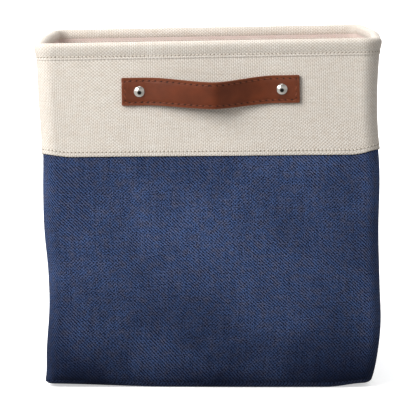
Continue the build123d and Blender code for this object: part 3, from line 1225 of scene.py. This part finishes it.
@dataclass
class Handle:
    """A riveted leather strap with its backing, sewing and rivets."""

    side: Side
    form: BinForm
    finishes: Finishes
    stitches: StitchTree
    strap: Strap = Strap()
    rivet: Rivet = Rivet()
    thread: Bead = Bead(5.9, 4.6, 0.95, 0.8, seed=7, slant=-0.32, unevenness=0.08, shift=2.9)
    # Dark beads of painted shade in the needle holes.
    hole: Bead = Bead(5.9, 2.2, 1.1, 0.4, seed=9, slant=-0.5)
    slope: float = math.radians(1.0)
    bend_start: float = 58.0
    bend_end: float = 22.0
    matrix: np.ndarray = field(init=False)

    def __post_init__(self) -> None:
        """Set up the handle's own frame on its wall, midway between the rivets."""
        name, form = self.side.value, self.form
        corners = [*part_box(f"{name}_rivet_left_back"), *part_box(f"{name}_rivet_right_back")]
        centre = sum((Vector(corner) for corner in corners), Vector()) / 4
        face = form.corner_centre + form.corner_radius - 0.8 * MM
        face -= form.base_inset * (1 - centre.z / form.height)
        lean = math.atan(form.base_inset / form.height)
        turn = Matrix.Rotation(math.pi / 2 + lean, 4, "X")
        if self.side is Side.FRONT:
            origin = Vector((centre.x, -face, centre.z))
            turn = turn @ Matrix.Rotation(self.slope, 4, "Z")
        else:
            origin = Vector((centre.x, face, centre.z))
            turn = Matrix.Rotation(math.pi, 4, "Z") @ turn @ Matrix.Rotation(-self.slope, 4, "Z")
        self.matrix = np.array(Matrix.Translation(origin) @ turn)

    def world(self, points: np.ndarray) -> np.ndarray:
        """Turn points in mm in the handle's frame into metres in the bin's."""
        return (points * MM) @ self.matrix[:3, :3].T + self.matrix[:3, 3]

    def build(self) -> None:
        """Build both halves of the strap, its sewing and its rivets."""
        low = self.strap.backing
        top = low + self.strap.thickness
        for half, sign in (("left", -1), ("right", 1)):
            self.ply(half, sign, "backing", (0.0, low), Finish.BACKING)
            self.ply(half, sign, "strap", (low, top), Finish.STRAP)
            self.sewing(half, sign, top)
            self.fasten(half, sign, top)

    def dress_half(
        self, piece: Any, finish: Finish, sign: int, nodes: Sequence[str] = ()
    ) -> None:
        """Give a half strap's piece its leather or thread, hide the nodes that it stands for and
        bake its place into its mesh.

        Args:
            piece: The object, which follows the grip at its middle and the wall at its end.
            finish: Its finish.
            sign: -1 for the left half, 1 for the right.
            nodes: CAD nodes that it stands for.
        """
        piece.data.materials.clear()
        piece.data.materials.append(self.finishes.get(finish))
        if nodes:
            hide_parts(*nodes)
        reach = [[sign * self.bend_start, 0.0, 0.0], [sign * self.bend_end, 0.0, 0.0]]
        start, end = (tuple(float(c) for c in p) for p in self.world(np.array(reach)))
        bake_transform(piece)
        LOG.info("%s: %d faces, bends with the handle", piece.name, len(piece.data.polygons))

    def ply(
        self, half: str, sign: int, layer: str, faces: tuple[float, float], finish: Finish
    ) -> None:
        """One ply of half the strap, from its end to the middle.

        Args:
            half: "left" or "right".
            sign: -1 or 1 for that half.
            layer: "strap" or "backing".
            faces: Back and front face of the ply, mm out from the strap's back.
            finish: Its leather.
        """
        s, on_top = self.strap, layer == "strap"
        half_width = s.width / 2 - (0.0 if on_top else 0.3)
        ends = s.half_length - np.array([0.0, 0.25, 0.6, 1.2, 2.0])
        run = np.concatenate([ends, np.linspace(s.half_length - 4, 0, 42)]) * sign
        shrink = np.concatenate([[0.55, 0.8, 0.94, 1.0, 1.0], np.ones(42)])
        narrow = np.concatenate([[0.95, 0.45, 0.2, 0.05, 0.0], np.zeros(42)])
        groove = half_width - s.stitch_inset
        share = groove / half_width
        marks = np.array([-1, -0.985, -share - 0.06, -share, -share + 0.06, -0.5, -0.25])
        across = np.concatenate([marks, [0.0], -marks[::-1]])
        middle, thick = sum(faces) / 2, faces[1] - faces[0]
        loops = []
        for x, flat, cut in zip(run, shrink, narrow):
            y = across * (half_width - cut)
            edge = np.where(np.abs(across) > 0.99, 0.45, 1.0) * flat
            puff = 0.2 * (1 - across**4) * on_top
            dip = 0.28 * np.exp(-(((np.abs(y) - groove) / 0.7) ** 2)) * on_top
            front = middle + thick / 2 * edge + (puff - dip) * flat
            back = middle - thick / 2 * edge
            ys = np.concatenate([y, y[::-1]])
            outs = np.concatenate([front, back[::-1]])
            loops.append(s.place(np.full_like(ys, x), ys, outs))
        ys = np.concatenate([across, across[::-1], across[:1]]) * half_width * MM
        runs = np.concatenate([run, run[-1:]]) * MM
        uv = np.stack(np.meshgrid(runs, ys, indexing="ij"), axis=-1)
        side = self.side.value
        piece = loft(f"{side}_{layer}_{half}_half", self.world(np.array(loops)), Ends.FLAT, uv, 50)
        self.burnish(piece, run, across)
        nodes = [f"{side}_{layer}_{half}_end"] + [f"{side}_{layer}_grip"] * (sign < 0)
        self.dress_half(piece, finish, sign, nodes)

    def burnish(self, piece: Any, run: np.ndarray, across: np.ndarray) -> None:
        """Mark the cut edges, from 0 inside to 0.8 at the very edge."""
        width = np.concatenate([across, across[::-1]])
        side = smooth((np.abs(width)[None] - 0.9) / 0.1)
        end = smooth((np.abs(run)[:, None] - self.strap.half_length + 2.0) / 2.0)
        values = np.clip(np.maximum(side, end), 0, 1) * 0.8
        mark = piece.data.attributes.new("burnish", "FLOAT", "POINT")
        mark.data.foreach_set("value", values.ravel().astype(np.float32))

    def sewing(self, half: str, sign: int, top: float) -> None:
        """Slanted stitches along the edges of half the strap, and dark beads of painted shade in
        their needle holes.
        """
        s = self.strap
        y = s.width / 2 - s.stitch_inset
        x = s.half_length - s.stitch_inset - 0.3
        run = np.linspace(0.8, x, 54)
        xs = np.concatenate([run, np.full(10, x), run[::-1]]) * sign
        ys = np.concatenate([np.full(54, y), np.linspace(y, -y, 12)[1:-1], np.full(54, -y)])
        points = self.world(s.place(xs, ys, np.full_like(xs, top + 0.02)))
        lifted = self.world(s.place(xs, ys, np.full_like(xs, top + 1.02)))
        line = (points, (lifted - points) / np.linalg.norm(lifted - points, axis=1)[:, None])
        for part, bead, finish in (
            ("thread", self.thread, Finish.RUST_THREAD),
            ("holes", self.hole, Finish.HIDE_HOLE_SHADE),
        ):
            bead = replace(bead, slant=bead.slant * sign)
            name = f"{self.side.value}_strap_{half}_{part}"
            row = self.stitches.row(name, line, False, self.finishes.get(finish), bead)
            self.dress_half(row, finish, sign)

    def fasten(self, half: str, sign: int, top: float) -> None:
        """Domed nickel cap with a thin skirt and its shank."""
        angles = np.linspace(0, 2 * math.pi, 48, endpoint=False)
        profile = self.rivet.profile(top)
        loops = []
        for r, out in profile:
            x = r * np.cos(angles) + sign * self.rivet.reach
            loops.append(np.stack([x, r * np.sin(angles), np.full(48, out)], axis=-1))
        loops = self.world(np.array(loops))
        uv = np.zeros((len(profile) + 1, 49, 2))
        piece = loft(f"{self.side.value}_rivet_cap_{half}", loops, Ends.FAN, uv, 50)
        node = f"{self.side.value}_rivet_{half}"
        dressed(piece, self.finishes.get(Finish.NICKEL), "bin", [node])


@dataclass(frozen=True)
class BaseInsert:
    """The loose board in its cloth cover, both turned up at the corners like the base."""

    form: BinForm
    finishes: Finishes
    cover_corner: float = 10.0
    board_corner: float = 8.5
    edge: float = 2.0
    ring_shares: tuple[float, ...] = (0.04, 0.2, 0.4, 0.6, 0.7, 0.8, 0.88, 0.95)

    def build(self) -> None:
        """Build the cover and the board in it."""
        cover = self.slab("insert_cloth_cover", "insert_cover", self.cover_corner)
        material = self.finishes.get(Finish.COVER)
        dressed(cover, material, "base_insert", ["insert_cover"])
        board = self.slab("insert_stiff_board", "insert_board", self.board_corner)
        material = self.finishes.get(Finish.BOARD)
        dressed(board, material, "base_insert", ["insert_board"])

    def slab(self, name: str, node: str, corner: float) -> Any:
        """A flat square with rounded corners and a soft edge, filling a CAD node's box.

        Args:
            name: The piece's name.
            node: The CAD node.
            corner: Its corner radius in mm.

        Returns:
            The slab's object.
        """
        low, high = (Vector(c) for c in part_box(node))
        spots, ways, _ = self.form.walk(6 * MM)
        spots = spots * (((high.x - low.x) / 2 - corner * MM) / self.form.corner_centre)
        mid, thick = (low.z + high.z) / 2, (high.z - low.z) / 2
        soft = min(self.edge, thick / MM)
        level = np.ones(len(spots))
        shares = self.ring_shares
        loops = [np.column_stack([spots * s, level * low.z]) for s in shares]
        for i in range(7):
            a = math.radians(30 * i - 90)
            flat = spots + ways * (corner - soft + soft * math.cos(a)) * MM
            loops.append(np.column_stack([flat, level * (mid + thick * math.sin(a))]))
        loops += [np.column_stack([spots * s, level * high.z]) for s in shares[::-1]]
        loops = self.form.raise_corners(np.array(loops))
        wrapped = np.concatenate([loops, loops[-1:]])
        wrapped = np.concatenate([wrapped, wrapped[:, :1]], axis=1)
        return loft(name, loops, Ends.FAN, wrapped[..., :2])


@dataclass(frozen=True)
class SoftLight:
    """A square area light: where it stands, what it points at, its side and its watts."""

    name: str
    spot: tuple[float, float, float]
    aim: tuple[float, float, float]
    size: float
    power: float


@dataclass(frozen=True)
class Studio:
    """Pale floor, soft light and the camera."""

    floor_reach: float = 60.0
    floor_glow: float = 0.5
    tone_mm: float = 1000 / 3
    softboxes: tuple[SoftLight, ...] = (
        SoftLight("key", (-1.12, -1.12, 1.15), (-0.05, 0, 0.2), 1.15, 36.0),
        SoftLight("top", (-0.1, 0.1, 2.2), (0, 0, 0), 1.6, 8.0),
        SoftLight("paper_near", (0.0, 2.6, 2.4), (0, 2.6, 0), 2.4, 42.0),
        SoftLight("paper_far", (0.0, 8.5, 4.5), (0, 8.5, 0), 8.0, 460.0),
    )
    lens_mm: float = 249.8
    eye: tuple[float, float, float] = (0.0, -2.915, 0.459)
    aim: tuple[float, float, float] = (0.0, -0.150, 0.1745)

    def build(self) -> None:
        """Set the stage."""
        bpy.context.scene.view_settings.view_transform = "Standard"
        self.floor()
        self.world()
        self.lights()
        self.camera()

    def put(self, name: str, data: Any, spot: Sequence[float], aim: Sequence[float]) -> Any:
        """Link a light or a camera into the scene, pointing at its aim; returns it."""
        thing = bpy.data.objects.new(name, data)
        thing.location = spot
        thing.rotation_euler = (Vector(aim) - Vector(spot)).to_track_quat("-Z", "Y").to_euler()
        bpy.context.scene.collection.objects.link(thing)
        return thing

    def floor(self) -> None:
        """A wide floor of white paper, which glows a little and throws no light on the bin."""
        mesh = bpy.data.meshes.new("floor")
        size = self.floor_reach
        corners = [(-size, -size, 0), (size, -size, 0), (size, size, 0), (-size, size, 0)]
        mesh.from_pydata(corners, [], [(0, 1, 2, 3)])
        floor = bpy.data.objects.new("floor", mesh)
        bpy.context.scene.collection.objects.link(floor)
        material, tree = blank_material("white_seamless_paper")
        place = add(tree, "ShaderNodeTexCoord").outputs["Object"]
        tone = add(tree, NOISE, {"Vector": place, "Scale": per_metre(self.tone_mm)})
        tones = {"Factor": tone, "A": linear("fbfbfb"), "B": linear("f7f7f7")}
        surface = {
            "Base Color": add(tree, MIX, tones, data_type="RGBA"),
            "Roughness": 0.9,
            "Emission Color": (1.0, 1.0, 1.0, 1.0),
            "Emission Strength": self.floor_glow,
        }
        add(tree, "ShaderNodeOutputMaterial", {"Surface": add(tree, PRINCIPLED, surface)})
        mesh.materials.append(material)
        floor.visible_diffuse = False
        floor.visible_glossy = False

    def world(self) -> None:
        """White surroundings, dimmer to the right front, below and high up.

        A dark opening in front of the bin shows in the rivet caps as a dark core.
        """
        world = bpy.data.worlds.new("studio")
        bpy.context.scene.world = world
        world.use_nodes = True
        tree = world.node_tree
        background = tree.nodes["Background"].inputs
        background["Color"].default_value = (1.0, 1.0, 1.0, 1.0)
        place = add(tree, "ShaderNodeTexCoord").outputs["Object"]
        up = add(tree, SPLIT, {0: place}).outputs["Z"]
        right = add(tree, VECTOR, {0: place, 1: (0.72, -0.69, 0.0)}, operation="DOT_PRODUCT")
        near = add(tree, VECTOR, {0: place, 1: (0.0, -0.94, -0.34)}, operation="DOT_PRODUCT")
        soft = {"interpolation_type": "SMOOTHSTEP"}
        strength = add(tree, RANGE, {0: right, 1: -0.2, 2: 0.9, 3: 0.9, 4: 0.54}, **soft)
        for dim in (
            add(tree, RANGE, {0: near, 1: 0.8, 2: 0.91, 3: 1.0, 4: 0.03}, **soft),
            add(tree, RANGE, {0: up, 1: -0.15, 2: 0.1, 3: 0.75, 4: 1.0}),
            add(tree, RANGE, {0: up, 1: 0.45, 2: 0.95, 3: 1.0, 4: 0.4}),
        ):
            strength = add(tree, MATH, {0: strength, 1: dim}, operation="MULTIPLY")
        tree.links.new(strength.outputs[0], background["Strength"])

    def lights(self) -> None:
        """The square soft lights over the bin and over the paper behind it."""
        for light in self.softboxes:
            data = bpy.data.lights.new(light.name, "AREA")
            data.size = light.size
            data.energy = light.power
            self.put(light.name, data, light.spot, light.aim)

    def camera(self) -> None:
        """A long lens a little above the rim, nearly square to the front."""
        data = bpy.data.cameras.new("camera")
        data.sensor_width = 36.0
        data.lens = self.lens_mm
        data.clip_start, data.clip_end = 0.1, 200.0
        bpy.context.scene.camera = self.put("camera", data, self.eye, self.aim)


def dress_kept_nodes(finishes: Finishes) -> None:
    """Give the CAD nodes that stay their finishes."""
    rivets = [f"{side.value}_rivet_{half}_back" for side in Side for half in ("left", "right")]
    choices = {"rim_wire_ferrule": Finish.WIRE, **dict.fromkeys(rivets, Finish.NICKEL)}
    for node, finish in choices.items():
        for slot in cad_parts[node].material_slots:
            slot.material = finishes.get(finish)


def main() -> None:
    """Build the bin piece by piece."""
    logging.basicConfig(level=logging.INFO, format="%(message)s")
    form, finishes, stitches = BinForm(), Finishes(), StitchTree()
    Studio().build()
    ClothBody(form, finishes, stitches).build()
    for side in Side:
        Handle(side, form, finishes, stitches).build()
    BaseInsert(form, finishes).build()
    dress_kept_nodes(finishes)


if __name__ == "__main__":
    main()
